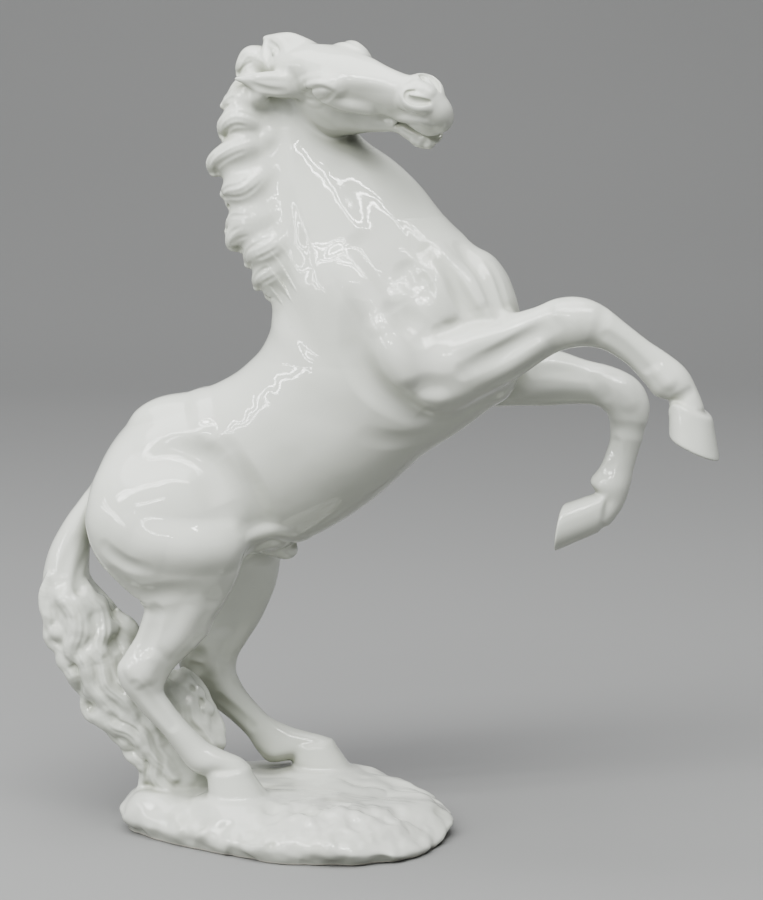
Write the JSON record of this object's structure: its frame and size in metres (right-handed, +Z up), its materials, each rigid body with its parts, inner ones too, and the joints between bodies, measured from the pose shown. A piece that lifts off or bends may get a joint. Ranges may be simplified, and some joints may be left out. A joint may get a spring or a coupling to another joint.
{
  "type": "horse figurine",
  "caption": "White glazed porcelain horse rearing on its hind legs on a low rock base, head turned, mane and tail in wavy locks; a free-standing shelf ornament.",
  "frame": {"origin": "middle of the base's flat underside", "axes": "+Z up; +X the way the horse faces, to the right in the picture; +Y away from the picture's viewer"},
  "size_m": [0.2492, 0.0918, 0.3047],
  "materials": {
    "body_glaze": "clear gloss glaze over white porcelain",
    "base_glaze": "clear gloss glaze over white porcelain, unglazed underneath"
  },
  "bodies": {
    "root": {"rock_base": "base_glaze", "torso": "body_glaze", "neck": "body_glaze", "head": "body_glaze", "right_ear": "body_glaze", "left_ear": "body_glaze", "mane": "body_glaze", "right_foreleg": "body_glaze", "left_foreleg": "body_glaze", "right_hind_leg": "body_glaze", "left_hind_leg": "body_glaze", "tail": "body_glaze"}
  },
  "joints": []
}
